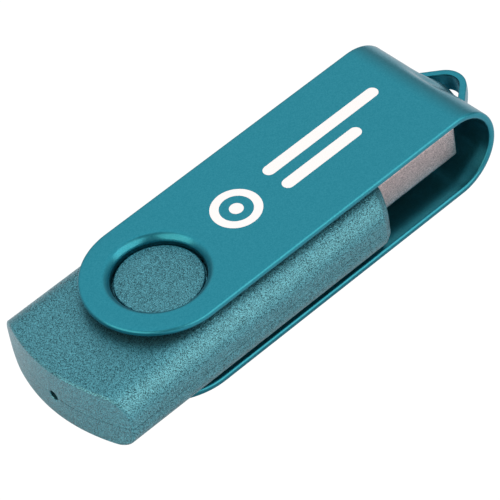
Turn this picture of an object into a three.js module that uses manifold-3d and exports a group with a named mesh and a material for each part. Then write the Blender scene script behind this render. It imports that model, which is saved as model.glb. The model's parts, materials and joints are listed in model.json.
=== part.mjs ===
// USB flash drive with a swivel cover, in millimetres, +Z up.
//
// Everything is drawn about the hub axis at the drive's mid-height: +X towards the plug, +Y across the
// drive. The last group moves the whole drive so that it stands on z = 0, centred over the origin.

import * as THREE from 'three';
import { mergeVertices } from 'three/addons/utils/BufferGeometryUtils.js';
import Module from 'manifold-3d';

const wasm = await Module();
wasm.setup();

// ---- driving dimensions ---------------------------------------------------------------------------

// case, moulded in two shells
const CASE_HALF_WIDTH = 10.0;
const CASE_TOP = 3.9;
const CASE_BOTTOM = -3.6;
const CASE_TOP_RADIUS = 3.1;
const CASE_BOTTOM_RADIUS = 2.5;
const CASE_REAR = -15.9; // middle of the bowed rear end
const CASE_SHOULDER = 25.5; // middle of the bowed front, where the bevel starts
const CASE_FRONT = 26.5; // middle of the bowed front face
const END_BOW = 2.2; // how far each end is bowed over the case's width
const FRONT_BEVEL = 0.6; // how far the front face is set in from the sides
const PARTING_Z = -0.33;
const CASE_WALL = 1.2;

const HUB_RADIUS = 4.93;
const HUB_HEIGHT = 4.53; // from mid-height to the hub's top, and as far down below
const HUB_ROUNDING = 0.15;
const HUB_FOOT_RADIUS = 5.1; // wider foot of the hub, which the rim of the cover's hole turns on
const HUB_FOOT_HEIGHT = 4.05;
const GROOVE_RADIUS = 6.2; // round groove in the case, which the rim runs in
const GROOVE_DEPTH = 0.35;

const LIP_HEIGHT = 0.6; // step along the parting line that locates the shells
const LIP_GAP = 0.05;
const LIGHT_HOLE_RADIUS = 0.6;

// locating pins of the upper shell, in sockets of the lower one
const PIN_RADIUS = 0.65;
const PIN_DEPTH = 0.9;
const SOCKET_BORE = 0.75;
const SOCKET_RADIUS = 1.2;
const PIN_Y = 7.45;
const PIN_PLACES = [-10.6, 21.0];

// swivel cover, one bent sheet
const COVER_WIDTH = 17.1;
const COVER_HALF_HEIGHT = 5.57;
const SHEET = 0.81;
const BEND_X = 36.02; // centre of the bend

// hub hole of each arm: the sheet is dished down to a short upright rim
const DISH_START = 6.08; // radius where the flat arm starts to curve down
const DISH_SHOULDER = 0.62; // tighter rounding at the top of the dish
const SHOULDER_ANGLE = 36; // degrees, where the shoulder turns into the dish
const DISH_RADIUS = 1.5;
const DISH_ANGLE = 60; // degrees, where the dish turns into the rim
const RIM_ROUNDING = 0.55;
const RIM_SHEET = 0.62;
const RIM_GAP = 0.17; // from the rim's foot to the groove's floor

// key-ring loop, a strip of the bend's sheet bowed outwards
const LOOP_TIP = 45.0;
const LOOP_HEIGHT = 2.4;
const LOOP_SLIT = 0.1;
const LOOP_FOOT_Y = 3.45;
const LOOP_SPREAD = 1.2; // how far each foot runs on in the bend's wall
const LOOP_TIP_HALF = 2.0; // half width of the loop where its round tip starts

// USB-A plug, with its middle on the parting plane
const PLUG_Z = PARTING_Z;
const PLUG_TIP = 37.92;
const PLUG_REAR = 20.3;
const PLUG_HALF_WIDTH = 6.0;
const PLUG_HALF_HEIGHT = 2.25;
const PLUG_SHEET = 0.3;
const PLUG_CORNER = 0.5;
const PLUG_GAP = 0.15; // round the plug in the case's front wall
const LATCH_LENGTH = 2.5;
const LATCH_WIDTH = 2.0;
const LATCH_Y = 2.55;
const LATCH_FROM_TIP = 6.4;

const INSULATOR_GAP = 0.1;
const TONGUE_START = 27.0;
const TONGUE_TIP = PLUG_TIP - 0.5;
const CONTACT_WIDTH = 1.0;
const CONTACT_SHEET = 0.25;
const CONTACT_PROUD = 0.05;
const CONTACT_REAR = 18.8;

// circuit board and what is on it
const BOARD_TOP = PLUG_Z - 0.3;
const BOARD_THICKNESS = 0.8;
const BOARD_REAR = -13.2;
const BOARD_FRONT = 20.0;
const BOARD_HALF_WIDTH = 6.15;
const LEAD_PITCH = 0.5;
const LEAD_WIDTH = 0.22;
const LEAD_SHEET = 0.15;

const CIRCLE_SEGMENTS = 48;
const CORNER_STEPS = 6; // steps round a long edge of the case

// ---- making solids --------------------------------------------------------------------------------

function solid(geometry) {
  const bare = geometry.clone();
  bare.deleteAttribute('normal');
  bare.deleteAttribute('uv');
  const merged = mergeVertices(bare, 1e-5);
  return new wasm.Manifold(new wasm.Mesh({
    numProp: 3,
    vertProperties: new Float32Array(merged.attributes.position.array),
    triVerts: new Uint32Array(merged.index.array),
  }));
}

function geometryOf(manifold) {
  const mesh = manifold.getMesh();
  const geometry = new THREE.BufferGeometry();
  geometry.setAttribute('position', new THREE.BufferAttribute(mesh.vertProperties, 3));
  geometry.setIndex(new THREE.BufferAttribute(mesh.triVerts, 1));
  return geometry;
}

function joined(first, ...others) {
  return others.reduce((whole, piece) => whole.add(piece), first);
}

function box(x0, x1, y0, y1, z0, z1) {
  const geometry = new THREE.BoxGeometry(x1 - x0, y1 - y0, z1 - z0);
  geometry.translate((x0 + x1) / 2, (y0 + y1) / 2, (z0 + z1) / 2);
  return solid(geometry);
}

// upright cylinder
function post(x, y, radius, z0, z1, segments = CIRCLE_SEGMENTS) {
  const geometry = new THREE.CylinderGeometry(radius, radius, z1 - z0, segments);
  geometry.rotateX(Math.PI / 2);
  geometry.translate(x, y, (z0 + z1) / 2);
  return solid(geometry);
}

// ring about the hub axis; the profile is a closed list of [radius, z]
function turned(profile) {
  const points = profile.map(([radius, z]) => new THREE.Vector2(radius, z));
  const geometry = new THREE.LatheGeometry(points, CIRCLE_SEGMENTS);
  geometry.rotateX(Math.PI / 2);
  return solid(geometry);
}

// outline in plan, standing from z0 to z1
function upright(shape, z0, z1, curveSegments = 12) {
  const geometry = new THREE.ExtrudeGeometry(shape, {
    depth: z1 - z0, bevelEnabled: false, curveSegments,
  });
  geometry.translate(0, 0, z0);
  return solid(geometry);
}

// outline in (y, z), running from x0 to x1
function lengthwise(shape, x0, x1, curveSegments = 6) {
  const geometry = new THREE.ExtrudeGeometry(shape, {
    depth: x1 - x0, bevelEnabled: false, curveSegments,
  });
  geometry.applyMatrix4(new THREE.Matrix4().makeBasis(
    new THREE.Vector3(0, 1, 0), new THREE.Vector3(0, 0, 1), new THREE.Vector3(1, 0, 0),
  ));
  geometry.translate(x0, 0, 0);
  return solid(geometry);
}

// outline in (x, z), running from y0 to y1
function crosswise(shape, y0, y1, curveSegments = 12) {
  const geometry = new THREE.ExtrudeGeometry(shape, {
    depth: y1 - y0, bevelEnabled: false, curveSegments,
  });
  geometry.rotateX(Math.PI / 2);
  geometry.translate(0, y1, 0);
  return solid(geometry);
}

// turned over about the X axis, for what the underside has in mirror image
function mirrored(manifold) {
  const mesh = geometryOf(manifold);
  mesh.scale(1, 1, -1);
  const index = mesh.index.array;
  for (let i = 0; i < index.length; i += 3) [index[i], index[i + 1]] = [index[i + 1], index[i]];
  return solid(mesh);
}

const material = (color, roughness, metalness) => new THREE.MeshStandardMaterial({
  color, roughness, metalness,
});

const PAINT = [0x4e8c94, 0.45, 0.5];
const ANODISED = [0x2d8a9c, 0.35, 0.8];
const STEEL = [0x9a918e, 0.4, 1.0];
const BRASS = [0xc9a24a, 0.3, 1.0];
const TONGUE_PLASTIC = [0x1c1d20, 0.5, 0.0];
const BOARD_GREEN = [0x14543a, 0.45, 0.1];
const CHIP_BLACK = [0x17181a, 0.6, 0.0];
const CAPACITOR_TAN = [0x9c7a55, 0.5, 0.1];
const RESISTOR_BLACK = [0x202225, 0.4, 0.1];
const LIGHT_CLEAR = [0xcfe6ff, 0.2, 0.0];

const drive = new THREE.Group();

function node(name, manifold, finish) {
  const mesh = new THREE.Mesh(geometryOf(manifold), material(...finish));
  mesh.name = name;
  drive.add(mesh);
  return mesh;
}

// ---- case -----------------------------------------------------------------------------------------

// places across the case where its section is sampled, closer together round the long edges
function acrossPlaces(halfWidth, radius) {
  const places = [];
  for (let i = 0; i <= CORNER_STEPS; i += 1) {
    const angle = (i / CORNER_STEPS) * (Math.PI / 2);
    places.push(-halfWidth + radius * (1 - Math.cos(angle)));
  }
  const flat = halfWidth - radius;
  const flatSteps = 8;
  for (let i = 1; i < flatSteps; i += 1) places.push(-flat + (2 * flat * i) / flatSteps);
  return [...places, ...places.slice(0, CORNER_STEPS + 1).reverse().map((y) => -y)];
}

// how far the rounding takes the surface in from its flat, at y across the case
function roundingDrop(y, halfWidth, radius) {
  const into = Math.max(0, Math.abs(y) - (halfWidth - radius));
  return radius - Math.sqrt(Math.max(0, radius * radius - into * into));
}

// closed solid between bowed rings; each ring is the case's section set in by inset, with its middle at x
// and its sides bow further back (bow > 0) or further forward (bow < 0)
function bowedBody(rings) {
  const points = [];
  let count = 0;
  for (const { x, inset, bow } of rings) {
    const halfWidth = CASE_HALF_WIDTH - inset;
    const topRadius = Math.max(CASE_TOP_RADIUS - inset, 0.4);
    const bottomRadius = Math.max(CASE_BOTTOM_RADIUS - inset, 0.4);
    const places = acrossPlaces(halfWidth, topRadius);
    count = places.length;
    const at = (y, z) => points.push(x - bow * (y / halfWidth) ** 2, y, z);
    for (const y of places) at(y, CASE_TOP - inset - roundingDrop(y, halfWidth, topRadius));
    for (const y of places) at(y, CASE_BOTTOM + inset + roundingDrop(y, halfWidth, bottomRadius));
  }
  const index = [];
  const quad = (a, b, c, d) => index.push(a, b, c, a, c, d);
  const ringSize = 2 * count;
  for (let ring = 0; ring + 1 < rings.length; ring += 1) {
    const near = ring * ringSize;
    const far = near + ringSize;
    for (let i = 0; i + 1 < count; i += 1) {
      quad(near + i, far + i, far + i + 1, near + i + 1);
      quad(near + count + i, near + count + i + 1, far + count + i + 1, far + count + i);
    }
    quad(near, near + count, far + count, far);
    quad(near + count - 1, far + count - 1, far + 2 * count - 1, near + 2 * count - 1);
  }
  const last = (rings.length - 1) * ringSize;
  for (let i = 0; i + 1 < count; i += 1) {
    quad(i, i + 1, count + i + 1, count + i);
    quad(last + i, last + count + i, last + count + i + 1, last + i + 1);
  }
  const geometry = new THREE.BufferGeometry();
  geometry.setAttribute('position', new THREE.Float32BufferAttribute(points, 3));
  geometry.setIndex(index);
  return solid(geometry);
}

const insetBody = (inset) => bowedBody([
  { x: CASE_REAR + inset, inset, bow: -END_BOW },
  { x: CASE_FRONT - inset, inset, bow: END_BOW },
]);

function caseOutside() {
  const body = bowedBody([
    { x: CASE_REAR, inset: 0, bow: -END_BOW },
    { x: CASE_SHOULDER, inset: 0, bow: END_BOW },
    { x: CASE_FRONT, inset: FRONT_BEVEL, bow: END_BOW },
  ]);
  const top = CASE_TOP - GROOVE_DEPTH;
  const bottom = CASE_BOTTOM + GROOVE_DEPTH;
  const hub = turned([
    [0, 0], [HUB_FOOT_RADIUS, 0],
    [HUB_FOOT_RADIUS, HUB_FOOT_HEIGHT], [HUB_RADIUS, HUB_FOOT_HEIGHT],
    [HUB_RADIUS, HUB_HEIGHT - HUB_ROUNDING], [HUB_RADIUS - HUB_ROUNDING, HUB_HEIGHT],
    [0, HUB_HEIGHT],
  ]);
  return body
    .subtract(post(0, 0, GROOVE_RADIUS, top, HUB_HEIGHT + 1))
    .subtract(post(0, 0, GROOVE_RADIUS, -HUB_HEIGHT - 1, bottom))
    .add(hub)
    .add(mirrored(hub));
}

const FAR = 60; // larger than the drive, for cutting halves
const above = (z) => box(-FAR, FAR, -FAR, FAR, z, FAR);
const below = (z) => box(-FAR, FAR, -FAR, FAR, -FAR, z);

const inside = insetBody(CASE_WALL);
const boardBottom = BOARD_TOP - BOARD_THICKNESS;
const ceiling = CASE_TOP - CASE_WALL;
const floor = CASE_BOTTOM + CASE_WALL;
const ROOTED = 0.2; // how far a rib or post reaches into the wall that carries it

// ribs that hold the plug down
const RIB_PLACES = [22.2, 24.2];
const RIB_HALF = 0.4;
const RIB_GAP = 0.1;

// opening in the front, and the pocket in the floor that the plug lies in
function plugOpening() {
  const halfWidth = PLUG_HALF_WIDTH + PLUG_GAP;
  const halfHeight = PLUG_HALF_HEIGHT + PLUG_GAP;
  return box(
    PLUG_REAR - RIB_HALF, CASE_FRONT + 1, -halfWidth, halfWidth, PLUG_Z - halfHeight, PLUG_Z + halfHeight,
  );
}

function lightHole() {
  const geometry = new THREE.CylinderGeometry(LIGHT_HOLE_RADIUS, LIGHT_HOLE_RADIUS, 4, 24);
  geometry.rotateZ(Math.PI / 2);
  geometry.translate(CASE_REAR, 0, PARTING_Z);
  return solid(geometry);
}

const shellBlank = caseOutside().subtract(inside).subtract(plugOpening()).subtract(lightHole());

// the step of the parting line: half of the wall's thickness
function lipRing(inset, z0, z1) {
  return insetBody(inset).intersect(above(z0)).intersect(below(z1)).subtract(inside)
    .subtract(plugOpening()).subtract(lightHole());
}

// posts that the board lies between
const BOARD_POSTS = [[-12.2, 4.6], [18.9, 5.4]];
const POST_HALF = 0.5;

function forBothSides(make) {
  return joined(make(1), make(-1));
}

function boardPosts(z0, z1) {
  return joined(...BOARD_POSTS.map(([x, y]) => forBothSides((side) => box(
    x - POST_HALF, x + POST_HALF, side * y - POST_HALF, side * y + POST_HALF, z0, z1,
  ))));
}

function plugRibs(z0, z1) {
  return joined(...RIB_PLACES.map((x) => box(
    x - RIB_HALF, x + RIB_HALF, -PLUG_HALF_WIDTH + 1, PLUG_HALF_WIDTH - 1, z0, z1,
  )));
}

function atPins(make) {
  return joined(...PIN_PLACES.map((x) => forBothSides((side) => make(x, side * PIN_Y))));
}

function upperCase() {
  const seat = insetBody(CASE_WALL / 2 - LIP_GAP).intersect(above(PARTING_Z - 1))
    .intersect(below(PARTING_Z + LIP_HEIGHT + LIP_GAP));
  const pins = atPins((x, y) => post(x, y, PIN_RADIUS, PARTING_Z - PIN_DEPTH, ceiling + ROOTED, 20));
  return shellBlank.intersect(above(PARTING_Z)).subtract(seat)
    .add(pins)
    .add(boardPosts(BOARD_TOP, ceiling + ROOTED))
    .add(plugRibs(PLUG_Z + PLUG_HALF_HEIGHT + RIB_GAP, ceiling + ROOTED));
}

function lowerCase() {
  const lip = lipRing(CASE_WALL / 2, PARTING_Z - 0.3, PARTING_Z + LIP_HEIGHT);
  const sockets = atPins((x, y) => post(x, y, SOCKET_RADIUS, floor - ROOTED, PARTING_Z, 24));
  const bores = atPins((x, y) => post(x, y, SOCKET_BORE, PARTING_Z - PIN_DEPTH - 0.2, FAR, 20));
  return shellBlank.intersect(below(PARTING_Z)).add(lip)
    .add(sockets).subtract(bores)
    .add(boardPosts(floor - ROOTED, boardBottom));
}

node('upper_case', upperCase(), PAINT);
node('lower_case', lowerCase(), PAINT);

// ---- swivel cover ---------------------------------------------------------------------------------

function bentSheet() {
  const inner = COVER_HALF_HEIGHT - SHEET;
  const end = -COVER_WIDTH;
  const side = new THREE.Shape();
  side.moveTo(end, -COVER_HALF_HEIGHT);
  side.lineTo(BEND_X, -COVER_HALF_HEIGHT);
  side.absarc(BEND_X, 0, COVER_HALF_HEIGHT, -Math.PI / 2, Math.PI / 2, false);
  side.lineTo(end, COVER_HALF_HEIGHT);
  side.lineTo(end, inner);
  side.lineTo(BEND_X, inner);
  side.absarc(BEND_X, 0, inner, Math.PI / 2, -Math.PI / 2, true);
  side.lineTo(end, -inner);
  side.closePath();
  return crosswise(side, -COVER_WIDTH, COVER_WIDTH, 28);
}

// plan of the sheet: straight sides and a half round about the hub
function armPlan() {
  const half = COVER_WIDTH / 2;
  const plan = new THREE.Shape();
  plan.moveTo(0, -half);
  plan.lineTo(FAR, -half);
  plan.lineTo(FAR, half);
  plan.lineTo(0, half);
  plan.absarc(0, 0, half, Math.PI / 2, (3 * Math.PI) / 2, false);
  return upright(plan, -FAR / 2, FAR / 2, 36);
}

// dished edge of a hub hole, down to its rim in the case's groove
function dishedEdge() {
  const profile = [];
  const rounding = (middle, radius, from, to, steps) => {
    for (let i = 0; i <= steps; i += 1) {
      const angle = THREE.MathUtils.degToRad(from + ((to - from) * i) / steps);
      profile.push([middle[0] - radius * Math.sin(angle), middle[1] + radius * Math.cos(angle)]);
    }
  };
  // middle of the next rounding, so that it runs on smoothly from the one before it
  const next = (middle, radius, nextRadius, angle) => {
    const a = THREE.MathUtils.degToRad(angle);
    return [
      middle[0] + (nextRadius - radius) * Math.sin(a),
      middle[1] - (nextRadius - radius) * Math.cos(a),
    ];
  };
  const shoulder = [DISH_START, COVER_HALF_HEIGHT - DISH_SHOULDER];
  const dish = next(shoulder, DISH_SHOULDER, DISH_RADIUS, SHOULDER_ANGLE);
  const rim = next(dish, DISH_RADIUS, RIM_ROUNDING, DISH_ANGLE);
  const bore = rim[0] - RIM_ROUNDING;
  const flat = DISH_START + 0.3;
  const inside = COVER_HALF_HEIGHT - SHEET;
  const foot = CASE_TOP - GROOVE_DEPTH + RIM_GAP;
  profile.push([flat, COVER_HALF_HEIGHT]);
  rounding(shoulder, DISH_SHOULDER, 0, SHOULDER_ANGLE, 3);
  rounding(dish, DISH_RADIUS, SHOULDER_ANGLE, DISH_ANGLE, 4);
  profile.push([bore, rim[1]], [bore, foot], [bore + RIM_SHEET, foot], [bore + RIM_SHEET, inside]);
  profile.push([flat, inside], [flat, COVER_HALF_HEIGHT]);
  return turned(profile);
}

// plan of the key-ring loop: two slanted sides and a round tip, with feet in the bend's wall
function keyRingLoop() {
  const wall = BEND_X + COVER_HALF_HEIGHT;
  const wallInside = wall - SHEET + 0.1;
  const tipInside = LOOP_TIP - SHEET;
  const tipCurve = 0.58 * LOOP_TIP_HALF; // to the control point of the tip's curve
  const rootX = wall + 0.5; // where the slanted side starts
  const rootY = LOOP_FOOT_Y + 0.15;
  const footY = LOOP_FOOT_Y + LOOP_SPREAD;
  const plan = new THREE.Shape();
  plan.moveTo(wallInside, -footY);
  plan.lineTo(wall - 0.2, -footY);
  plan.quadraticCurveTo(wall, -LOOP_FOOT_Y - LOOP_SPREAD / 2, rootX, -rootY);
  plan.lineTo(LOOP_TIP - 1, -LOOP_TIP_HALF);
  plan.quadraticCurveTo(LOOP_TIP, -tipCurve, LOOP_TIP, 0);
  plan.quadraticCurveTo(LOOP_TIP, tipCurve, LOOP_TIP - 1, LOOP_TIP_HALF);
  plan.lineTo(rootX, rootY);
  plan.quadraticCurveTo(wall, LOOP_FOOT_Y + LOOP_SPREAD / 2, wall - 0.2, footY);
  plan.lineTo(wallInside, footY);
  plan.lineTo(wallInside, LOOP_FOOT_Y);
  plan.quadraticCurveTo(wall, LOOP_FOOT_Y - 0.2, wall + 0.7, LOOP_FOOT_Y - 0.9);
  plan.lineTo(tipInside - 0.7, LOOP_TIP_HALF - 0.55);
  plan.quadraticCurveTo(tipInside, 0.7 * tipCurve, tipInside, 0);
  plan.quadraticCurveTo(tipInside, -0.7 * tipCurve, tipInside - 0.7, -LOOP_TIP_HALF + 0.55);
  plan.lineTo(wall + 0.7, -LOOP_FOOT_Y + 0.9);
  plan.quadraticCurveTo(wall, -LOOP_FOOT_Y + 0.2, wallInside, -LOOP_FOOT_Y);
  plan.closePath();
  return upright(plan, -LOOP_HEIGHT / 2, LOOP_HEIGHT / 2, 6);
}

function swivelCover() {
  const window = LOOP_HEIGHT / 2 + LOOP_SLIT;
  const edge = dishedEdge();
  return bentSheet().intersect(armPlan())
    .subtract(post(0, 0, DISH_START + 0.1, -FAR, FAR))
    .add(edge)
    .add(mirrored(edge))
    .subtract(box(BEND_X, FAR, -LOOP_FOOT_Y, LOOP_FOOT_Y, -window, window))
    .add(keyRingLoop());
}

node('swivel_cover', swivelCover(), ANODISED);

// ---- plug -----------------------------------------------------------------------------------------

function roundedBox(halfWidth, halfHeight, radius) {
  const shape = new THREE.Shape();
  shape.moveTo(-halfWidth + radius, -halfHeight);
  shape.lineTo(halfWidth - radius, -halfHeight);
  shape.absarc(halfWidth - radius, -halfHeight + radius, radius, -Math.PI / 2, 0, false);
  shape.lineTo(halfWidth, halfHeight - radius);
  shape.absarc(halfWidth - radius, halfHeight - radius, radius, 0, Math.PI / 2, false);
  shape.lineTo(-halfWidth + radius, halfHeight);
  shape.absarc(-halfWidth + radius, halfHeight - radius, radius, Math.PI / 2, Math.PI, false);
  shape.lineTo(-halfWidth, -halfHeight + radius);
  shape.absarc(-halfWidth + radius, -halfHeight + radius, radius, Math.PI, 1.5 * Math.PI, false);
  return shape;
}

const boreHalfWidth = PLUG_HALF_WIDTH - PLUG_SHEET;
const boreHalfHeight = PLUG_HALF_HEIGHT - PLUG_SHEET;

const onPlugMiddle = (manifold) => manifold.translate([0, 0, PLUG_Z]);

function plugShell() {
  const tube = lengthwise(roundedBox(PLUG_HALF_WIDTH, PLUG_HALF_HEIGHT, PLUG_CORNER), PLUG_REAR, PLUG_TIP);
  const bore = lengthwise(
    roundedBox(boreHalfWidth, boreHalfHeight, PLUG_CORNER - PLUG_SHEET), PLUG_REAR - 1, PLUG_TIP + 1,
  );
  const latch = PLUG_TIP - LATCH_FROM_TIP;
  const windows = forBothSides((side) => box(
    latch - LATCH_LENGTH / 2, latch + LATCH_LENGTH / 2,
    side * LATCH_Y - LATCH_WIDTH / 2, side * LATCH_Y + LATCH_WIDTH / 2, -FAR, FAR,
  ));
  return onPlugMiddle(tube.subtract(bore).subtract(windows));
}

// [name, place across the plug, how far it stops short of the tongue's tip]
const CONTACTS = [
  ['contact_supply', 3.5, 0.8],
  ['contact_data_minus', 1.0, 1.8],
  ['contact_data_plus', -1.0, 1.8],
  ['contact_ground', -3.5, 0.8],
];

function contactBlade(y, shortBy) {
  return box(
    CONTACT_REAR, TONGUE_TIP - shortBy, y - CONTACT_WIDTH / 2, y + CONTACT_WIDTH / 2,
    BOARD_TOP, BOARD_TOP + CONTACT_SHEET,
  );
}

function plugInsulator() {
  const halfWidth = boreHalfWidth - INSULATOR_GAP;
  const halfHeight = boreHalfHeight - INSULATOR_GAP;
  const tongueTop = BOARD_TOP + CONTACT_SHEET - CONTACT_PROUD;
  const bottom = PLUG_Z - halfHeight;
  const block = box(PLUG_REAR + 0.3, TONGUE_START, -halfWidth, halfWidth, bottom, PLUG_Z + halfHeight)
    .add(box(TONGUE_START - 1, TONGUE_TIP, -halfWidth, halfWidth, bottom, tongueTop));
  return CONTACTS.reduce((rest, [, y, shortBy]) => rest.subtract(contactBlade(y, shortBy)), block);
}

node('plug_shell', plugShell(), STEEL);
node('plug_insulator', plugInsulator(), TONGUE_PLASTIC);
for (const [name, y, shortBy] of CONTACTS) node(name, contactBlade(y, shortBy), BRASS);

// ---- circuit board --------------------------------------------------------------------------------

node('circuit_board', box(
  BOARD_REAR, BOARD_FRONT, -BOARD_HALF_WIDTH, BOARD_HALF_WIDTH, boardBottom, BOARD_TOP,
), BOARD_GREEN);

// bent lead of a package, pointing along +X from its body's side down to the board
function lead(reach, height) {
  const shape = new THREE.Shape();
  const inward = -0.3;
  shape.moveTo(inward, height);
  shape.lineTo(reach / 2, height);
  shape.lineTo(reach / 2, LEAD_SHEET);
  shape.lineTo(reach, LEAD_SHEET);
  shape.lineTo(reach, 0);
  shape.lineTo(reach / 2 - LEAD_SHEET, 0);
  shape.lineTo(reach / 2 - LEAD_SHEET, height - LEAD_SHEET);
  shape.lineTo(inward, height - LEAD_SHEET);
  shape.closePath();
  const geometry = new THREE.ExtrudeGeometry(shape, { depth: LEAD_WIDTH, bevelEnabled: false });
  geometry.rotateX(Math.PI / 2);
  geometry.translate(0, LEAD_WIDTH / 2, 0);
  return geometry;
}

// row of leads along one side of a package; angle turns the side about the package's middle
function leadRow(count, bodyHalf, reach, height, angle) {
  const rows = [];
  for (let i = 0; i < count; i += 1) {
    const geometry = lead(reach, height);
    geometry.translate(bodyHalf, (i - (count - 1) / 2) * LEAD_PITCH, 0);
    geometry.rotateZ(angle);
    rows.push(solid(geometry));
  }
  return joined(...rows);
}

function chip({ x, halfLength, halfWidth, height, leads, reach, sides }) {
  const standOff = 0.1;
  const rows = sides.map((angle) => leadRow(
    leads, Math.abs(Math.cos(angle)) > 0.5 ? halfLength : halfWidth, reach, height / 2, angle,
  ));
  const geometry = geometryOf(joined(
    box(-halfLength, halfLength, -halfWidth, halfWidth, standOff, height), ...rows,
  ).subtract(post(-halfLength + 1.2, -halfWidth + 1.2, 0.5, height - 0.1, height + 1, 20)));
  geometry.translate(x, 0, BOARD_TOP);
  return solid(geometry);
}

const FLASH = {
  x: -1.2, halfLength: 9.2, halfWidth: 6.0, height: 1.1, leads: 24, reach: 0.8, sides: [0, Math.PI],
};
const CONTROLLER = {
  x: 14.0,
  halfLength: 3.5,
  halfWidth: 3.5,
  height: 1.5,
  leads: 12,
  reach: 1.0,
  sides: [0, Math.PI / 2, Math.PI, -Math.PI / 2],
};

node('flash_memory', chip(FLASH), CHIP_BLACK);
node('controller', chip(CONTROLLER), CHIP_BLACK);

// two-ended chip part: a body with slightly larger end caps; it stands on top of the board or hangs below
function endedPart(x, y, length, width, height, onTop) {
  const cap = length * 0.18;
  const step = 0.04;
  const whole = joined(
    box(-length / 2, length / 2, -width / 2 + step, width / 2 - step, step, height - step),
    box(-length / 2, -length / 2 + cap, -width / 2, width / 2, 0, height),
    box(length / 2 - cap, length / 2, -width / 2, width / 2, 0, height),
  );
  const geometry = geometryOf(whole);
  geometry.translate(x, y, onTop ? BOARD_TOP : boardBottom - height);
  return solid(geometry);
}

node('status_light', endedPart(-12.2, 0, 1.2, 1.6, 0.6, true), LIGHT_CLEAR);
node('crystal', box(10.0, 13.2, -1.25, 1.25, boardBottom - 0.8, boardBottom), STEEL);

// [name, x, y] of the parts under the board
const RESISTORS = [
  ['resistor_light', -9.0, 2.0], ['resistor_data_minus', 16.0, 1.5], ['resistor_data_plus', 16.0, -1.5],
];
for (const [name, x, y] of RESISTORS) node(name, endedPart(x, y, 1.6, 0.8, 0.45, false), RESISTOR_BLACK);

const CAPACITORS = [
  ['capacitor_supply', 16.0, 4.2], ['capacitor_crystal_left', 11.6, 2.6],
  ['capacitor_crystal_right', 11.6, -2.6], ['capacitor_controller', 7.0, 0],
  ['capacitor_flash_front', 3.0, 3.0], ['capacitor_flash_rear', -5.0, -3.0],
];
for (const [name, x, y] of CAPACITORS) node(name, endedPart(x, y, 1.6, 0.8, 0.8, false), CAPACITOR_TAN);

// ---- stand the drive on its cover, centred over the origin ----------------------------------------

drive.position.set(-(CASE_REAR + LOOP_TIP) / 2, 0, COVER_HALF_HEIGHT);
const whole = new THREE.Group();
whole.add(drive);

export default whole;
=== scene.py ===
"""USB flash drive with a swivel cover: the finished visual model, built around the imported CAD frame.

Meshes are made in millimetres about the hub axis at the drive's mid-height (+X towards the plug, +Z up)
and are put into the frame, in metres, as each piece is finished.
"""

import json
import math

import bmesh
import bpy
from mathutils import Matrix, Quaternion, Vector


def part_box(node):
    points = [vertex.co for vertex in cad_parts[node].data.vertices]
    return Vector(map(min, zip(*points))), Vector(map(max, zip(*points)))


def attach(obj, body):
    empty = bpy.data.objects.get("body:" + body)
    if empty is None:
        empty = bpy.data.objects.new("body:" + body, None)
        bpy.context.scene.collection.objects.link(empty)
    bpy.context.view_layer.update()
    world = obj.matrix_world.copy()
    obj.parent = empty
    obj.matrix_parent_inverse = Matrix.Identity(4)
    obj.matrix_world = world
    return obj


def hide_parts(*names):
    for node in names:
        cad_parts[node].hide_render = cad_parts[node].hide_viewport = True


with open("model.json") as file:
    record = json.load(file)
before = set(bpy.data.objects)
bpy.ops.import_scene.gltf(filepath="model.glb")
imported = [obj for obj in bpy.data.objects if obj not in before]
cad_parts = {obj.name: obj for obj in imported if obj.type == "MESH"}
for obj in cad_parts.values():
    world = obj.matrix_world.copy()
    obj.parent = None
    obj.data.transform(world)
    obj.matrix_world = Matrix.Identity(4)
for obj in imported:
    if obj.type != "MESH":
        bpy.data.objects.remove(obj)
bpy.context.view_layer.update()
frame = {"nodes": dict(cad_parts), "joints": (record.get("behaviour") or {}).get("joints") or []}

MM = 0.001
HUB = Vector(frame["joints"][0]["pos_m"])


def cad_size(node):
    """Lowest and highest corner of a CAD node, in millimetres about the hub."""
    low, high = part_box(node)
    return (low - HUB) / MM, (high - HUB) / MM


upper_low, upper_high = cad_size("upper_case")
_, cover_high = cad_size("swivel_cover")
plug_low, plug_high = cad_size("plug_shell")

# ---- sizes, in millimetres ------------------------------------------------------------------------

# case
CASE_HALF_WIDTH = upper_high.y
CASE_REAR = upper_low.x
CASE_FRONT = upper_high.x
CASE_SHOULDER = CASE_FRONT - 1.0
END_BOW = 2.2
CASE_TOP = 3.9
CASE_TOP_RADIUS = 3.1
CASE_BOTTOM = 3.6
CASE_BOTTOM_RADIUS = 2.5
PARTING_Z = -0.33
CASE_WALL = 1.2
SEAM = 0.05  # gap of the parting line
HUB_RADIUS = 4.93
HUB_HEIGHT = upper_high.z
HUB_FOOT_RADIUS = 5.1
HUB_FOOT_HEIGHT = 4.05
GROOVE_RADIUS = 6.2
GROOVE_DEPTH = 0.35
LIGHT_HOLE_RADIUS = 0.6

# cover
COVER_HALF_WIDTH = cover_high.y
COVER_HALF_HEIGHT = cover_high.z
SHEET = 0.81
BEND_X = 36.02
COVER_EDGE = 0.3
DISH_START = 6.08
DISH_SHOULDER = 0.62
SHOULDER_ANGLE = 36
DISH_RADIUS = 1.5
DISH_ANGLE = 60
RIM_ROUNDING = 0.55
RIM_SHEET = 0.62
RIM_FOOT = 3.72
LOOP_TIP = cover_high.x
LOOP_HALF_HEIGHT = 1.2
LOOP_FOOT_Y = 3.45
LOOP_TIP_HALF = 2.0

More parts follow.
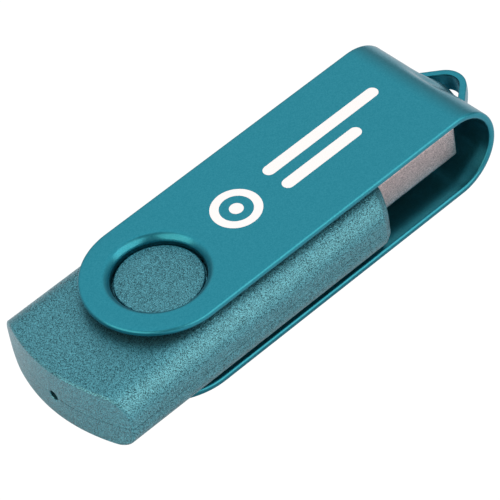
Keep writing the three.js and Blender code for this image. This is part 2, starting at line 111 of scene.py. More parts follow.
# plug
PLUG_REAR = plug_low.x
PLUG_TIP = plug_high.x
PLUG_HALF_WIDTH = plug_high.y
PLUG_HALF_HEIGHT = (plug_high.z - plug_low.z) / 2
PLUG_Z = (plug_high.z + plug_low.z) / 2
PLUG_SHEET = 0.3
PLUG_CORNER = 0.5
PLUG_GAP = 0.15
LATCH_FROM_TIP = 6.4
LATCH_Y = 2.55
LATCH_HALF_LENGTH = 1.25
LATCH_HALF_WIDTH = 1.0

SHARP_ANGLE = math.radians(38)


# ---- mesh making ----------------------------------------------------------------------------------


def spread(start, end, steps):
    """Evenly spaced values from start to end, both included."""
    return [start + (end - start) * i / steps for i in range(steps + 1)]


def mix(a, b, share):
    return a + (b - a) * share


class Surface:
    """Points and faces of a mesh under construction."""

    def __init__(self):
        self.points = []
        self.faces = []

    def rows(self, rows, closed=False, skip=None):
        """Quads between neighbouring rows of points; closed joins each row's end to its start."""
        starts = []
        for row in rows:
            starts.append(len(self.points))
            self.points.extend(tuple(p) for p in row)
        count = len(rows[0])
        for i in range(len(rows) - 1):
            for j in range(count if closed else count - 1):
                if skip and skip(i, j):
                    continue
                k = (j + 1) % count
                self.faces.append((starts[i] + j, starts[i] + k, starts[i + 1] + k, starts[i + 1] + j))

    def cap(self, row):
        """One face over a closed row of points."""
        start = len(self.points)
        self.points.extend(tuple(p) for p in row)
        self.faces.append(tuple(range(start, start + len(row))))

    def fan(self, row, centre):
        start = len(self.points)
        self.points.extend(tuple(p) for p in row)
        self.points.append(tuple(centre))
        hub = start + len(row)
        for j in range(len(row)):
            self.faces.append((start + j, start + (j + 1) % len(row), hub))

    def object(self, name):
        mesh = bpy.data.meshes.new(name)
        mesh.from_pydata(self.points, [], self.faces)
        made = bpy.data.objects.new(name, mesh)
        bpy.context.scene.collection.objects.link(made)
        tidy(made)
        return made


def tidy(piece, weld=1e-4):
    """Welds a mesh that is still in millimetres, and turns its faces outwards."""
    bm = bmesh.new()
    bm.from_mesh(piece.data)
    bmesh.ops.remove_doubles(bm, verts=bm.verts, dist=weld)
    bmesh.ops.dissolve_degenerate(bm, dist=weld / 10, edges=bm.edges)
    bmesh.ops.recalc_face_normals(bm, faces=bm.faces)
    bm.to_mesh(piece.data)
    bm.free()


def combine(piece, other, operation):
    """Boolean of two meshes, kept in piece; other is removed."""
    modifier = piece.modifiers.new("combine", "BOOLEAN")
    modifier.operation = operation
    modifier.solver = "EXACT"
    modifier.object = other
    graph = bpy.context.evaluated_depsgraph_get()
    result = bpy.data.meshes.new_from_object(piece.evaluated_get(graph))
    piece.modifiers.clear()
    piece.data = result
    bpy.data.objects.remove(other)


def place(piece, name, body, material, replaced=()):
    """Puts a finished mesh into the frame, in metres, with its material and its body."""
    piece.name = name
    piece.data.name = name
    piece.data.transform(Matrix.Translation(HUB) @ Matrix.Scale(MM, 4))
    piece.data.materials.clear()
    piece.data.materials.append(material)
    for polygon in piece.data.polygons:
        polygon.use_smooth = True
        polygon.material_index = 0
    piece.data.set_sharp_from_angle(angle=SHARP_ANGLE)
    normals = piece.modifiers.new("normals", "WEIGHTED_NORMAL")
    normals.mode = "FACE_AREA"
    normals.weight = 90
    normals.keep_sharp = True
    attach(piece, body)
    if replaced:
        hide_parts(*replaced)
    return piece


# ---- case -----------------------------------------------------------------------------------------

SIDE_ROWS = 4
ARC_STEPS = 12
TOP_STEPS = 28
HUB_PATCH = 7.2  # half length of the square patch round the hub
HUB_PATCH_STEPS = 28


def half_section(inset, height, radius, parting):
    """(y, z) points of half the case's section, from the parting line over the top and down again."""
    half = CASE_HALF_WIDTH - inset
    r = max(radius - inset, 0.3)
    flat = half - r
    top = height - inset
    near = [(-half, z) for z in spread(parting, top - r, SIDE_ROWS)][:-1]
    near += [(-flat - r * math.cos(a), top - r + r * math.sin(a)) for a in spread(0, math.pi / 2, ARC_STEPS)]
    middle = [(y, top) for y in spread(-flat, flat, TOP_STEPS)][1:-1]
    return near + middle + [(-y, z) for y, z in reversed(near)]


def case_ring(x, inset, bow, height, radius, parting):
    half = CASE_HALF_WIDTH - inset
    points = half_section(inset, height, radius, parting)
    return [(x - bow * (y / half) ** 2, y, z) for y, z in points]


def end_cap(ring, parting):
    """Rows that close the end of a shell: columns from the section's edge down to the parting line."""
    columns = ring[SIDE_ROWS : len(ring) - SIDE_ROWS]
    rows = []
    for row in range(SIDE_ROWS + 1):
        share = row / SIDE_ROWS
        rows.append([(x, y, mix(z, parting, share)) for x, y, z in columns])
    return rows


def hub_rings(height, patch):
    """Rings of points from the patch round the hub, through the groove, up over the hub to its middle."""
    floor = height - GROOVE_DEPTH
    mouth, corner, rounding = 0.12, 0.08, 0.2
    profile = [(GROOVE_RADIUS + mouth * (1 - math.sin(a)), height - mouth * (1 - math.cos(a)))
               for a in spread(0, math.pi / 2, 4)]
    profile += [(GROOVE_RADIUS, floor + corner), (GROOVE_RADIUS - corner, floor)]
    profile += [(HUB_FOOT_RADIUS + corner, floor), (HUB_FOOT_RADIUS, floor + corner)]
    profile += [(HUB_FOOT_RADIUS, HUB_FOOT_HEIGHT - corner), (HUB_FOOT_RADIUS - corner, HUB_FOOT_HEIGHT)]
    profile += [(HUB_RADIUS, HUB_FOOT_HEIGHT)]
    profile += [(HUB_RADIUS - rounding * (1 - math.cos(a)), HUB_HEIGHT - rounding * (1 - math.sin(a)))
                for a in spread(0, math.pi / 2, 5)]
    profile += [(3.2, HUB_HEIGHT), (1.6, HUB_HEIGHT)]
    rings = [patch]
    for radius, z in profile:
        ring = []
        for x, y, _ in patch:
            distance = math.hypot(x, y)
            ring.append((radius * x / distance, radius * y / distance, z))
        rings.append(ring)
    return rings


def half_shell(height, radius, parting, sign):
    """Upper (sign 1) or lower (sign -1) shell; height, radius and parting are measured from mid-height."""
    surface = Surface()
    rear_edge = [(0, 0.3), (0.01, 0.26), (0.04, 0.215), (0.22, 0.035), (0.265, 0.008), (0.31, 0)]  # x, inset
    rear = [(CASE_REAR + along, inset, -END_BOW) for along, inset in rear_edge]
    middle = [(-13.5, 0, -1.6), (-11.0, 0, -0.8), (-9.0, 0, 0)]
    patch_x = spread(-HUB_PATCH, HUB_PATCH, HUB_PATCH_STEPS)
    front = [(10.0, 0, 0), (14.0, 0, 0.3), (18.0, 0, 0.9), (22.0, 0, 1.6), (24.6, 0, END_BOW)]
    lip = [
        (CASE_SHOULDER - 0.12, 0.0), (CASE_SHOULDER, 0.02), (CASE_SHOULDER + 0.1, 0.07),
        (CASE_FRONT - 0.16, 0.47), (CASE_FRONT - 0.06, 0.53), (CASE_FRONT - 0.015, 0.59), (CASE_FRONT, 0.66),
    ]
    stations = rear + middle + [(x, 0, 0) for x in patch_x] + front
    stations += [(x, inset, END_BOW) for x, inset in lip]
    rings = [case_ring(x, inset, bow, height, radius, parting) for x, inset, bow in stations]

    first_top = SIDE_ROWS + ARC_STEPS
    last_top = first_top + TOP_STEPS
    patch_start = len(rear) + len(middle)
    patch_end = patch_start + HUB_PATCH_STEPS

    def in_patch(i, j):
        return patch_start <= i < patch_end and first_top <= j < last_top

    surface.rows(rings, skip=in_patch)
    surface.rows(end_cap(rings[0], parting))
    surface.rows(end_cap(rings[-1], parting))
    patch = [rings[i][first_top] for i in range(patch_start, patch_end)]
    patch += [rings[patch_end][j] for j in range(first_top, last_top)]
    patch += [rings[i][last_top] for i in range(patch_end, patch_start, -1)]
    patch += [rings[patch_start][j] for j in range(last_top, first_top, -1)]
    hub = hub_rings(height, patch)
    surface.rows(hub, closed=True)
    surface.fan(hub[-1], (0, 0, HUB_HEIGHT))

    # inside of the shell, with the same number of points, so that the rim joins them one to one
    inner_rear = CASE_REAR + CASE_WALL
    inner_front = CASE_FRONT - CASE_WALL
    inner_rings = []
    for x, _, bow in stations:
        share = (x - CASE_REAR) / (CASE_FRONT - CASE_REAR)
        inner_rings.append(
            case_ring(mix(inner_rear, inner_front, share), CASE_WALL, bow, height, radius, parting)
        )
    surface.rows(inner_rings)
    surface.rows(end_cap(inner_rings[0], parting))
    surface.rows(end_cap(inner_rings[-1], parting))

    def rim(rows):
        loop = [row[0] for row in rows]
        loop += end_cap(rows[-1], parting)[-1][1:-1]
        loop += [row[-1] for row in reversed(rows)]
        loop += list(reversed(end_cap(rows[0], parting)[-1]))[1:-1]
        return loop

    surface.rows([rim(rings), rim(inner_rings)], closed=True)
    if sign < 0:
        surface.points = [(x, y, -z) for x, y, z in surface.points]
    return surface.object("half_shell")


def bowed_cutter():
    """Cutter of the plug's opening in the bowed front, flared at its mouth."""
    surface = Surface()
    rows = []
    flare = ((1.5, 0.12), (0, 0.12), (-0.1, 0.02), (-0.2, 0), (-6, 0))  # (x from the front, growth)
    for along, grow in flare:
        x = CASE_FRONT + along
        outline = rounded_box(
            PLUG_HALF_WIDTH + PLUG_GAP + grow, PLUG_HALF_HEIGHT + PLUG_GAP + grow, PLUG_CORNER + grow, 6, 16
        )
        rows.append([(x - END_BOW * (y / CASE_HALF_WIDTH) ** 2, y, PLUG_Z + z) for y, z in outline])
    surface.rows(rows, closed=True)
    surface.cap(rows[0])
    surface.cap(rows[-1])
    return surface.object("cutter")


def light_hole_cutter():
    surface = Surface()
    steps = 40
    rows = []
    # (x from the rear, radius)
    flare = ((-1, 0.78), (-0.02, 0.72), (0.08, LIGHT_HOLE_RADIUS), (3, LIGHT_HOLE_RADIUS))
    for along, radius in flare:
        rows.append([
            (CASE_REAR + along, radius * math.cos(a), PARTING_Z + radius * math.sin(a))
            for a in spread(0, 2 * math.pi, steps)[:-1]
        ])
    surface.rows(rows, closed=True)
    surface.cap(rows[0])
    surface.cap(rows[-1])
    return surface.object("cutter")


def rounded_box(half_width, half_height, radius, arc_steps, flat_steps=1):
    """Closed outline of a rectangle with round corners, as (y, z) points."""
    points = []
    corners = ((1, 1, 0), (-1, 1, 90), (-1, -1, 180), (1, -1, 270))
    for side_y, side_z, start in corners:
        for a in spread(math.radians(start), math.radians(start + 90), arc_steps):
            points.append((
                side_y * (half_width - radius) + radius * math.cos(a),
                side_z * (half_height - radius) + radius * math.sin(a),
            ))
    if flat_steps == 1:
        return points
    filled = []
    for i, (y, z) in enumerate(points):
        filled.append((y, z))
        next_y, next_z = points[(i + 1) % len(points)]
        if abs(next_y - y) > radius:
            filled += [(mix(y, next_y, s), mix(z, next_z, s)) for s in spread(0, 1, flat_steps)[1:-1]]
    return filled


# ---- cover ----------------------------------------------------------------------------------------

PATCH_X = 10.0  # where the sheet's straight rows start, in front of the hub
SIDE_STEPS = 16
ROUND_STEPS = 56
BEND_STEPS = 20  # on each side of the window
WINDOW_STEPS = 8
WINDOW_HALF = 1.38  # half height of the window behind the key-ring loop, on the outer surface
WINDOW_ANGLE = math.acos(WINDOW_HALF / COVER_HALF_HEIGHT)
LIP_HALF_WIDTH = LOOP_FOOT_Y + 0.9  # the sheet is drawn out over this far on each side of the middle
LIP_START = 28  # degrees round the bend
LIP_DIP = 0.35
LIP_RISE = 0.75

# (inset from the sheet's edge, depth from its outer face) over its rounded edge
RIM = [(COVER_EDGE * (1 - math.sin(a)), COVER_EDGE * (1 - math.cos(a))) for a in spread(0, math.pi / 2, 6)]
RIM += [(inset, SHEET - depth) for inset, depth in reversed(RIM)]

INNER_HALF = COVER_HALF_WIDTH - COVER_EDGE
Y_LINES = spread(-INNER_HALF, -LOOP_FOOT_Y, 8)[:-1] + spread(-LOOP_FOOT_Y, LOOP_FOOT_Y, 14)
Y_LINES += spread(LOOP_FOOT_Y, INNER_HALF, 8)[1:]


def sheet_section(at):
    """Closed section of the sheet, where at(y, depth) gives the point."""
    outer = [at(y, 0) for y in Y_LINES]
    far = [at(COVER_HALF_WIDTH - inset, depth) for inset, depth in RIM[1:-1]]
    inner = [at(y, SHEET) for y in reversed(Y_LINES)]
    near = [at(-COVER_HALF_WIDTH + inset, depth) for inset, depth in reversed(RIM[1:-1])]
    return outer + far + inner + near


def straight_at(x, sign):
    return lambda y, depth: (x, y, sign * (COVER_HALF_HEIGHT - depth))


def drawn_out(angle, y):
    """How far the bend's sheet lies outside its true round, beside the window of the key-ring loop."""
    share = abs(y) / LIP_HALF_WIDTH
    if share >= 1:
        return 0
    from_crest = math.degrees(min(angle, math.pi - angle))
    window = math.degrees(WINDOW_ANGLE)
    if from_crest <= LIP_START:
        return 0
    along = min((from_crest - LIP_START) / (window - LIP_START), 1)
    dip = -LIP_DIP * math.sin(math.pi * min(along / 0.75, 1)) ** 2
    rise = LIP_RISE * max((along - 0.45) / 0.55, 0) ** 2
    return (dip + rise) * math.cos(share * math.pi / 2) ** 2


def bend_at(angle):
    def at(y, depth):
        radius = COVER_HALF_HEIGHT - depth + drawn_out(angle, y)
        return (BEND_X + radius * math.sin(angle), y, radius * math.cos(angle))

    return at


def arm_end_path(inset):
    """(x, y) along the sheet's edge round the hub, from one straight row start to the other."""
    half = COVER_HALF_WIDTH - inset
    near = [(x, -half) for x in spread(PATCH_X, 0, SIDE_STEPS)]
    angles = spread(-math.pi / 2, -3 * math.pi / 2, ROUND_STEPS)
    turn = [(half * math.cos(a), half * math.sin(a)) for a in angles]
    far = [(x, half) for x in spread(0, PATCH_X, SIDE_STEPS)]
    return near + turn[1:-1] + far


def dished_profile():
    """(radius, z) from the outer face, down the dish and the rim of the hub hole, to the inner face."""
    profile = []

    def rounding(middle, radius, start, end, steps):
        for a in spread(math.radians(start), math.radians(end), steps):
            profile.append((middle[0] - radius * math.sin(a), middle[1] + radius * math.cos(a)))

    def following(middle, radius, next_radius, angle):
        """Middle of the next rounding, so that it runs on smoothly from the one before it."""
        grown = next_radius - radius
        a = math.radians(angle)
        return middle[0] + grown * math.sin(a), middle[1] - grown * math.cos(a)

    shoulder = (DISH_START, COVER_HALF_HEIGHT - DISH_SHOULDER)
    dish = following(shoulder, DISH_SHOULDER, DISH_RADIUS, SHOULDER_ANGLE)
    rim = following(dish, DISH_RADIUS, RIM_ROUNDING, DISH_ANGLE)
    bore = rim[0] - RIM_ROUNDING
    outside = bore + RIM_SHEET
    inside = COVER_HALF_HEIGHT - SHEET
    lip = 0.1
    rounding(shoulder, DISH_SHOULDER, 0, SHOULDER_ANGLE, 6)
    rounding(dish, DISH_RADIUS, SHOULDER_ANGLE + 4, DISH_ANGLE, 8)
    rounding(rim, RIM_ROUNDING, DISH_ANGLE + 7, 90, 2)
    profile += [(bore, RIM_FOOT + lip), (bore + lip * 0.3, RIM_FOOT + lip * 0.3), (bore + lip, RIM_FOOT)]
    profile += [(outside - lip, RIM_FOOT), (outside - lip * 0.3, RIM_FOOT + lip * 0.3)]
    profile += [(outside, RIM_FOOT + lip)]
    profile += [(outside, inside - lip), (outside + lip * 0.3, inside - lip * 0.3), (outside + lip, inside)]
    return profile


def hub_patch(surface, sign):
    """Round end of one arm, with its rolled hub hole."""
    edge = arm_end_path(COVER_EDGE)
    loop = edge + [(PATCH_X, y) for y in reversed(Y_LINES[1:-1])]
    profile = dished_profile()

    def flat_rings(depth, radius):
        z = sign * (COVER_HALF_HEIGHT - depth)
        rings = []
        for share in (0, 0.35, 0.7, 0.92):
            ring = []
            for x, y in loop:
                distance = math.hypot(x, y)
                reach = mix(distance, radius, share) / distance
                ring.append((x * reach, y * reach, z))
            rings.append(ring)
        return rings

    rings = flat_rings(0, profile[0][0])
    for radius, z in profile:
        ring = []
        for x, y in loop:
            distance = math.hypot(x, y)
            ring.append((radius * x / distance, radius * y / distance, sign * z))
        rings.append(ring)
    rings += reversed(flat_rings(SHEET, profile[-1][0]))
    surface.rows(rings, closed=True)
    surface.rows([
        [(x, y, sign * (COVER_HALF_HEIGHT - depth)) for x, y in arm_end_path(inset)] for inset, depth in RIM
    ])


def bent_sheet():
    surface = Surface()
    hub_patch(surface, 1)
    hub_patch(surface, -1)
    window = WINDOW_ANGLE
    upper = [straight_at(x, 1) for x in spread(PATCH_X, BEND_X, 12)]
    bend = [bend_at(a) for a in spread(0, window, BEND_STEPS)]
    bend += [bend_at(a) for a in spread(window, math.pi - window, WINDOW_STEPS)[1:-1]]
    bend += [bend_at(a) for a in spread(math.pi - window, math.pi, BEND_STEPS)]
    lower = [straight_at(x, -1) for x in spread(BEND_X, PATCH_X, 12)]
    stations = upper[:-1] + bend + lower[1:]
    rows = [sheet_section(at) for at in stations]
    first_row = len(upper) - 1 + BEND_STEPS
    last_row = first_row + WINDOW_STEPS
    first = Y_LINES.index(-LOOP_FOOT_Y)
    last = Y_LINES.index(LOOP_FOOT_Y)
    inner_first = len(Y_LINES) + len(RIM) - 2 + (len(Y_LINES) - 1 - last)
    inner_last = inner_first + last - first

    def in_window(i, j):
        return first_row <= i < last_row and (first <= j < last or inner_first <= j < inner_last)

    surface.rows(rows, closed=True, skip=in_window)
    for i in (first_row, last_row):
        outer = rows[i][first : last + 1]
        inner = list(reversed(rows[i][inner_first : inner_last + 1]))
        surface.rows([outer, inner])
    for outer_j, inner_j in ((first, inner_last), (last, inner_first)):
        side = rows[first_row : last_row + 1]
        surface.rows([[row[outer_j] for row in side], [row[inner_j] for row in side]])
    return surface.object("cover")


def bezier(start, control, end, steps):
    return [
        ((1 - t) ** 2 * start[0] + 2 * t * (1 - t) * control[0] + t * t * end[0],
         (1 - t) ** 2 * start[1] + 2 * t * (1 - t) * control[1] + t * t * end[1])
        for t in spread(0, 1, steps)
    ]


def loop_path():
    """(x, y) of the key-ring loop's outer face, from the wall at -Y to its tip and back to +Y."""
    wall = BEND_X + COVER_HALF_HEIGHT
    root = (wall + 0.5, -LOOP_FOOT_Y - 0.15)
    foot = bezier((wall - 0.06, -LOOP_FOOT_Y - 1.35), (wall, -LOOP_FOOT_Y - 0.6), root, 10)
    tip_start = (LOOP_TIP - 1, -LOOP_TIP_HALF)
    side = [(mix(root[0], tip_start[0], t), mix(root[1], tip_start[1], t)) for t in spread(0, 1, 4)]
    tip = bezier(tip_start, (LOOP_TIP, -0.58 * LOOP_TIP_HALF), (LOOP_TIP, 0), 12)
    half = foot[:-1] + side[:-1] + tip
    return half + [(x, -y) for x, y in reversed(half[:-1])]


def key_ring_loop():
    """Strip of the bend bowed outwards; its feet run out within the thickness of the bend's sheet."""
    surface = Surface()
    path = [Vector(p) for p in loop_path()]
    edge = 0.14
    top = LOOP_HALF_HEIGHT
    rounded = [(edge * (1 - math.cos(a)), edge * (1 - math.sin(a))) for a in spread(0, math.pi / 2, 3)]
    section = [(0, z) for z in spread(-top + 2 * edge, top - 2 * edge, 4)]  # (depth from the outer face, z)
    section += [(d, top - h) for d, h in rounded]
    section += [(SHEET - d, top - h) for d, h in reversed(rounded)]
    section += [(SHEET, z) for z in spread(top - 2 * edge, -top + 2 * edge, 4)]
    section += [(SHEET - d, -top + h) for d, h in rounded]
    section += [(d, -top + h) for d, h in reversed(rounded)]
    innermost = BEND_X + COVER_HALF_HEIGHT - SHEET + 0.12
    rows = []
    for i, point in enumerate(path):
        before = path[max(i - 1, 0)]
        after = path[min(i + 1, len(path) - 1)]
        along = (after - before).normalized()
        inward = Vector((-along.y, along.x))
        row = []
        for d, z in section:
            sag = COVER_HALF_HEIGHT - math.sqrt(COVER_HALF_HEIGHT**2 - z * z)
            row.append((max(point.x + inward.x * d - sag, innermost - sag), point.y + inward.y * d, z))
        rows.append(row)
    surface.rows(rows, closed=True)
    surface.cap(rows[0])
    surface.cap(rows[-1])
    return surface.object("loop")


# print on the upper arm: a plain ring with a dot, and two bars
PRINT_THICKNESS = 0.02
RING_X, RING_Y = 11.7, 0.35
BARS_X = 17.2


def raised(outline, hole=None):
    """Thin solid on the upper arm's outer face, from its outline and the outline of its hole."""
    base = COVER_HALF_HEIGHT - 0.01
    top = COVER_HALF_HEIGHT + PRINT_THICKNESS
    surface = Surface()
    low = [(x, y, base) for x, y in outline]
    high = [(x, y, top) for x, y in outline]
    if hole:
        low_in = [(x, y, base) for x, y in hole]
        high_in = [(x, y, top) for x, y in hole]
        surface.rows([low, high, high_in, low_in, low], closed=True)
    else:
        surface.rows([low, high], closed=True)
        surface.cap(low)
        surface.cap(high)
    return surface.object("print")


def circle(x, y, radius, steps=72):
    angles = spread(0, 2 * math.pi, steps)[:-1]
    return [(x + radius * math.cos(a), y + radius * math.sin(a)) for a in angles]


def bar(x, y, length, width):
    """Outline of a bar with round ends."""
    r = width / 2
    angles = spread(-math.pi / 2, math.pi / 2, 16)
    right = [(x + length - r + r * math.cos(a), y + r * math.sin(a)) for a in angles]
    left = [(x + r - r * math.cos(a), y - r * math.sin(a)) for a in angles]
    return right + left


# ---- plug -----------------------------------------------------------------------------------------


def plug_shell():
    surface = Surface()
    outer_rows, inner_rows = [], []
    stations = [(x, 0) for x in spread(PLUG_REAR, PLUG_TIP - 0.3, 10)]
    stations += [(PLUG_TIP - 0.12, 0.01), (PLUG_TIP - 0.05, 0.04), (PLUG_TIP - 0.015, 0.08)]
    for x, inset in stations:
        outline = rounded_box(PLUG_HALF_WIDTH - inset, PLUG_HALF_HEIGHT - inset, PLUG_CORNER - inset / 2, 8)
        outer_rows.append([(x, y, PLUG_Z + z) for y, z in outline])
        outline = rounded_box(
            PLUG_HALF_WIDTH - PLUG_SHEET - inset / 3, PLUG_HALF_HEIGHT - PLUG_SHEET - inset / 3,
            PLUG_CORNER - PLUG_SHEET, 8,
        )
        inner_rows.append([(x, y, PLUG_Z + z) for y, z in outline])
    rim = [(PLUG_TIP, mix(a[1], b[1], 0.45), mix(a[2], b[2], 0.45))
           for a, b in zip(outer_rows[-1], inner_rows[-1])]
    surface.rows(outer_rows + [rim] + list(reversed(inner_rows)) + [outer_rows[0]], closed=True)
    return surface.object("plug")


def latch_cutter(y):
    """Cutter of the latch windows at y, through the plug's upper and lower sheet."""
    surface = Surface()
    x = PLUG_TIP - LATCH_FROM_TIP
    outline = rounded_box(LATCH_HALF_LENGTH, LATCH_HALF_WIDTH, 0.12, 4)
    rows = [[(x + u, y + v, PLUG_Z + z) for u, v in outline] for z in (-4, 4)]
    surface.rows(rows, closed=True)
    surface.cap(rows[0])
    surface.cap(rows[1])
    return surface.object("cutter")


# ---- materials ------------------------------------------------------------------------------------


BUMP_HEIGHT = 0.02 * MM


def new_material(name):
    material = bpy.data.materials.new(name)
    material.use_nodes = True
    nodes = material.node_tree.nodes
    return material, nodes, material.node_tree.links, nodes["Principled BSDF"]


def linear(red, green, blue):
    """Colour from 0 to 255 display values."""

    def one(value):
        value /= 255
        return value / 12.92 if value <= 0.04045 else ((value + 0.055) / 1.055) ** 2.4

    return (one(red), one(green), one(blue), 1)


def object_coordinates(nodes):
    return nodes.new("ShaderNodeTexCoord").outputs["Object"]


def fine_bumps(nodes, links, shader, where, scale, detail, strength):
    """Gives the shader a normal with bumps of up to BUMP_HEIGHT from a noise texture."""
    grain = nodes.new("ShaderNodeTexNoise")
    grain.inputs["Scale"].default_value = scale
    grain.inputs["Detail"].default_value = detail
    links.new(where, grain.inputs["Vector"])
    bump = nodes.new("ShaderNodeBump")
    bump.inputs["Strength"].default_value = strength
    bump.inputs["Distance"].default_value = BUMP_HEIGHT
    links.new(grain.outputs[0], bump.inputs["Height"])
    links.new(bump.outputs[0], shader.inputs["Normal"])


def cells(nodes, links, where, scale):
    """Random colour for each small cell of the material; scale is in cells per metre."""
    voronoi = nodes.new("ShaderNodeTexVoronoi")
    voronoi.inputs["Scale"].default_value = scale
    links.new(where, voronoi.inputs["Vector"])
    return voronoi.outputs["Color"]


def shade_by_cell(nodes, links, shader, cell_color, dark, light, ends=(0, 1)):
    """Base colour between dark and light, picked by the cell's random red; ends clamp the pick."""
    shade = nodes.new("ShaderNodeValToRGB")
    for element, position, color in zip(shade.color_ramp.elements, ends, (dark, light)):
        element.position = position
        element.color = color
    separate = nodes.new("ShaderNodeSeparateColor")
    links.new(cell_color, separate.inputs[0])
    links.new(separate.outputs[0], shade.inputs[0])
    links.new(shade.outputs[0], shader.inputs["Base Color"])


def tilt_by_cell(nodes, links, shader, cell_color, amount):
    """Leans the shader's normal at random in each cell, as flakes lie in paint."""
    centre = nodes.new("ShaderNodeVectorMath")
    centre.operation = "SUBTRACT"
    centre.inputs[1].default_value = (0.5, 0.5, 0.5)
    links.new(cell_color, centre.inputs[0])
    tilt = nodes.new("ShaderNodeVectorMath")
    tilt.operation = "SCALE"
    tilt.inputs["Scale"].default_value = amount
    links.new(centre.outputs[0], tilt.inputs[0])
    geometry = nodes.new("ShaderNodeNewGeometry")
    lean = nodes.new("ShaderNodeVectorMath")
    lean.operation = "ADD"
    links.new(geometry.outputs["Normal"], lean.inputs[0])
    links.new(tilt.outputs[0], lean.inputs[1])
    unit = nodes.new("ShaderNodeVectorMath")
    unit.operation = "NORMALIZE"
    links.new(lean.outputs[0], unit.inputs[0])
    links.new(unit.outputs[0], shader.inputs["Normal"])


def sparkle_paint():
    material, nodes, links, shader = new_material("sparkle_paint")
    flakes = cells(nodes, links, object_coordinates(nodes), 19000)
    tilt_by_cell(nodes, links, shader, flakes, 0.5)
    shade_by_cell(nodes, links, shader, flakes, linear(0, 60, 70), linear(98, 181, 198), (0.25, 0.75))
    shader.inputs["Metallic"].default_value = 0.8
    shader.inputs["Roughness"].default_value = 0.36
    shader.inputs["Coat Weight"].default_value = 0.15
    shader.inputs["Coat Roughness"].default_value = 0.3
    return material


def anodised():
    material, nodes, links, shader = new_material("anodised_aluminium")
    where = object_coordinates(nodes)
    fine_bumps(nodes, links, shader, where, 9000, 2, 0.06)
    pores = cells(nodes, links, where, 9000)
    shade_by_cell(nodes, links, shader, pores, linear(37, 133, 152), linear(49, 143, 162))
    shader.inputs["Metallic"].default_value = 0.92
    shader.inputs["Roughness"].default_value = 0.28
    return material


def rolled_steel():
    material, nodes, links, shader = new_material("rolled_steel")
    where = object_coordinates(nodes)
    stretch = nodes.new("ShaderNodeMapping")
    stretch.inputs["Scale"].default_value = (300, 6000, 6000)
    links.new(where, stretch.inputs["Vector"])
    fine_bumps(nodes, links, shader, stretch.outputs[0], 1, 3, 0.1)
    crystals = cells(nodes, links, where, 10000)
    shade_by_cell(nodes, links, shader, crystals, linear(146, 144, 147), linear(210, 201, 202))
    shader.inputs["Metallic"].default_value = 1
    shader.inputs["Roughness"].default_value = 0.38
    return material


def plain(name, color, roughness, metallic=0.0):
    material, nodes, links, shader = new_material(name)
    fine_bumps(nodes, links, shader, object_coordinates(nodes), 4000, 2, 0.1)
    shader.inputs["Base Color"].default_value = color
    shader.inputs["Roughness"].default_value = roughness
    shader.inputs["Metallic"].default_value = metallic
    return material


# ---- build ----------------------------------------------------------------------------------------

paint = sparkle_paint()
teal = anodised()
steel = rolled_steel()

upper = half_shell(CASE_TOP, CASE_TOP_RADIUS, PARTING_Z + SEAM / 2, 1)
lower = half_shell(CASE_BOTTOM, CASE_BOTTOM_RADIUS, -PARTING_Z + SEAM / 2, -1)
for shell in (upper, lower):
    combine(shell, light_hole_cutter(), "DIFFERENCE")
    combine(shell, bowed_cutter(), "DIFFERENCE")
place(upper, "upper_shell", "drive", paint, ["upper_case"])
place(lower, "lower_shell", "drive", paint, ["lower_case"])

cover = bent_sheet()
combine(cover, key_ring_loop(), "UNION")
place(cover, "cover", "cover", teal, ["swivel_cover"])

white_ink = plain("white_ink", linear(243, 251, 255), 0.5)
place(raised(circle(RING_X, RING_Y, 2.9), circle(RING_X, RING_Y, 1.9)), "print_ring", "cover", white_ink)
place(raised(circle(RING_X, RING_Y, 0.8)), "print_dot", "cover", white_ink)
place(raised(bar(BARS_X, 1.8, 17, 1.5)), "print_bar_long", "cover", white_ink)
place(raised(bar(BARS_X, -1.2, 11.5, 1.5)), "print_bar_short", "cover", white_ink)

plug = plug_shell()
for side in (-1, 1):
    combine(plug, latch_cutter(side * LATCH_Y), "DIFFERENCE")
place(plug, "plug", "drive", steel, ["plug_shell"])

gold = plain("gold_plate", linear(220, 180, 90), 0.25, 1)
black_plastic = plain("black_plastic", linear(30, 31, 34), 0.5)
board_mask = plain("board_mask", linear(20, 85, 58), 0.4)
chip_epoxy = plain("chip_epoxy", linear(28, 29, 31), 0.6)
can_metal = plain("can_metal", linear(190, 190, 186), 0.3, 1)
clear = plain("clear_lens", linear(210, 228, 245), 0.15)
glaze = plain("black_glaze", linear(34, 36, 40), 0.3)
ceramic = plain("fired_ceramic", linear(156, 124, 86), 0.5)
by_first_word = {
    "contact": gold, "plug": black_plastic, "circuit": board_mask, "flash": chip_epoxy,
    "controller": chip_epoxy, "crystal": can_metal, "status": clear, "resistor": glaze, "capacitor": ceramic,
}
for name, node in frame["nodes"].items():
    if node.hide_render:
        continue
    chosen = by_first_word[name.split("_")[0]]
    node.data.materials.clear()
    node.data.materials.append(chosen)

# ---- stage, light and camera ----------------------------------------------------------------------

bpy.ops.mesh.primitive_plane_add(size=3, location=(0, 0, 0))
floor = bpy.context.object
floor.name = "floor"
floor_material, floor_nodes, floor_links, floor_shader = new_material("pale_floor")
floor_shader.inputs["Base Color"].default_value = (0.82, 0.87, 0.92, 1)
floor_shader.inputs["Roughness"].default_value = 0.9
# overexposed to plain white where it is looked at, while it throws back only some light onto the drive
white = floor_nodes.new("ShaderNodeEmission")
white.inputs["Strength"].default_value = 1.05
path = floor_nodes.new("ShaderNodeLightPath")
exposed = floor_nodes.new("ShaderNodeMixShader")
floor_links.new(path.outputs["Is Camera Ray"], exposed.inputs[0])
floor_links.new(floor_shader.outputs[0], exposed.inputs[1])
floor_links.new(white.outputs[0], exposed.inputs[2])
floor_links.new(exposed.outputs[0], floor_nodes["Material Output"].inputs["Surface"])
floor.data.materials.append(floor_material)


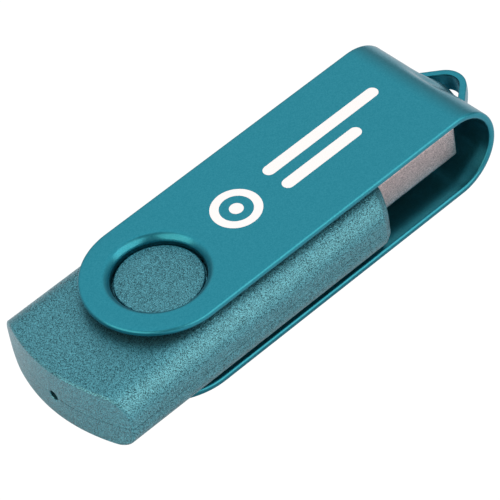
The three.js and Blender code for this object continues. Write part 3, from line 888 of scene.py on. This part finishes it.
BACK_AZIMUTH = 55  # degrees from +X towards +Y
BACK_LEVELS = (0.3, 1.0)  # behind the drive, at the horizon and high up
FRONT_LEVEL = 0.33


def graded_backdrop(world):
    """Overhead light, brightest high up behind the drive, that falls off to the horizon and the front."""
    nodes, links = world.node_tree.nodes, world.node_tree.links
    direction = nodes.new("ShaderNodeTexCoord").outputs["Generated"]
    height = nodes.new("ShaderNodeSeparateXYZ")
    links.new(direction, height.inputs[0])
    rise = nodes.new("ShaderNodeMapRange")
    rise.inputs["From Min"].default_value = 0
    rise.inputs["From Max"].default_value = 0.72
    rise.inputs["To Min"].default_value = BACK_LEVELS[0]
    rise.inputs["To Max"].default_value = BACK_LEVELS[1]
    links.new(height.outputs["Z"], rise.inputs["Value"])
    behind = nodes.new("ShaderNodeVectorMath")
    behind.operation = "DOT_PRODUCT"
    a = math.radians(BACK_AZIMUTH)
    behind.inputs[1].default_value = (math.cos(a), math.sin(a), 0)
    links.new(direction, behind.inputs[0])
    share = nodes.new("ShaderNodeMapRange")
    share.interpolation_type = "SMOOTHSTEP"
    share.inputs["From Min"].default_value = -0.45
    share.inputs["From Max"].default_value = 0.1
    links.new(behind.outputs["Value"], share.inputs["Value"])
    level = nodes.new("ShaderNodeMix")
    level.inputs["A"].default_value = FRONT_LEVEL
    links.new(share.outputs[0], level.inputs["Factor"])
    links.new(rise.outputs[0], level.inputs["B"])
    nodes["Background"].inputs["Color"].default_value = (1, 1, 1, 1)
    links.new(level.outputs["Result"], nodes["Background"].inputs["Strength"])


world = bpy.data.worlds.new("studio")
bpy.context.scene.world = world
world.use_nodes = True
graded_backdrop(world)


def softbox(name, azimuth, elevation, spread_across, spread_up, radiance, color, distance=0.8):
    """Rectangular light that faces the drive; angles in degrees, azimuth from +X towards +Y."""
    a, e = math.radians(azimuth), math.radians(elevation)
    towards = Vector((math.cos(a) * math.cos(e), math.sin(a) * math.cos(e), math.sin(e)))
    light = bpy.data.lights.new(name, "AREA")
    light.shape = "RECTANGLE"
    light.size = 2 * distance * math.tan(math.radians(spread_across / 2))
    light.size_y = 2 * distance * math.tan(math.radians(spread_up / 2))
    light.energy = radiance * math.pi * light.size * light.size_y
    light.color = color
    made = bpy.data.objects.new(name, light)
    bpy.context.scene.collection.objects.link(made)
    made.location = HUB + towards * distance
    made.rotation_mode = "QUATERNION"
    made.rotation_quaternion = (-towards).to_track_quat("-Z", "Y")
    return made


softbox("box_right", -71, 27, 58, 58, 1.48, (1.4, 1, 0.88))
softbox("box_left", 185, 27, 58, 58, 1.3, (1.45, 1, 0.8))

VIEW_AZIMUTH = math.radians(-35.819)  # from -Y towards +X
VIEW_ELEVATION = math.radians(45.849)
VIEW_ROLL = math.radians(-10.214)
VIEW_AIM = Vector((9.902, -3.253, 3.065))  # from the hub
VIEW_DISTANCE = 354.008

camera_data = bpy.data.cameras.new("camera")
camera_data.sensor_width = 36
camera_data.lens = 240.35
camera_data.clip_start = 0.01
camera_data.clip_end = 50
camera = bpy.data.objects.new("camera", camera_data)
bpy.context.scene.collection.objects.link(camera)
back = Vector((
    math.sin(VIEW_AZIMUTH) * math.cos(VIEW_ELEVATION),
    -math.cos(VIEW_AZIMUTH) * math.cos(VIEW_ELEVATION),
    math.sin(VIEW_ELEVATION),
))
camera.location = HUB + VIEW_AIM * MM + back * VIEW_DISTANCE * MM
camera.rotation_mode = "QUATERNION"
camera.rotation_quaternion = (-back).to_track_quat("-Z", "Y") @ Quaternion((0, 0, 1), VIEW_ROLL)
bpy.context.scene.camera = camera
bpy.context.scene.view_settings.view_transform = "Standard"
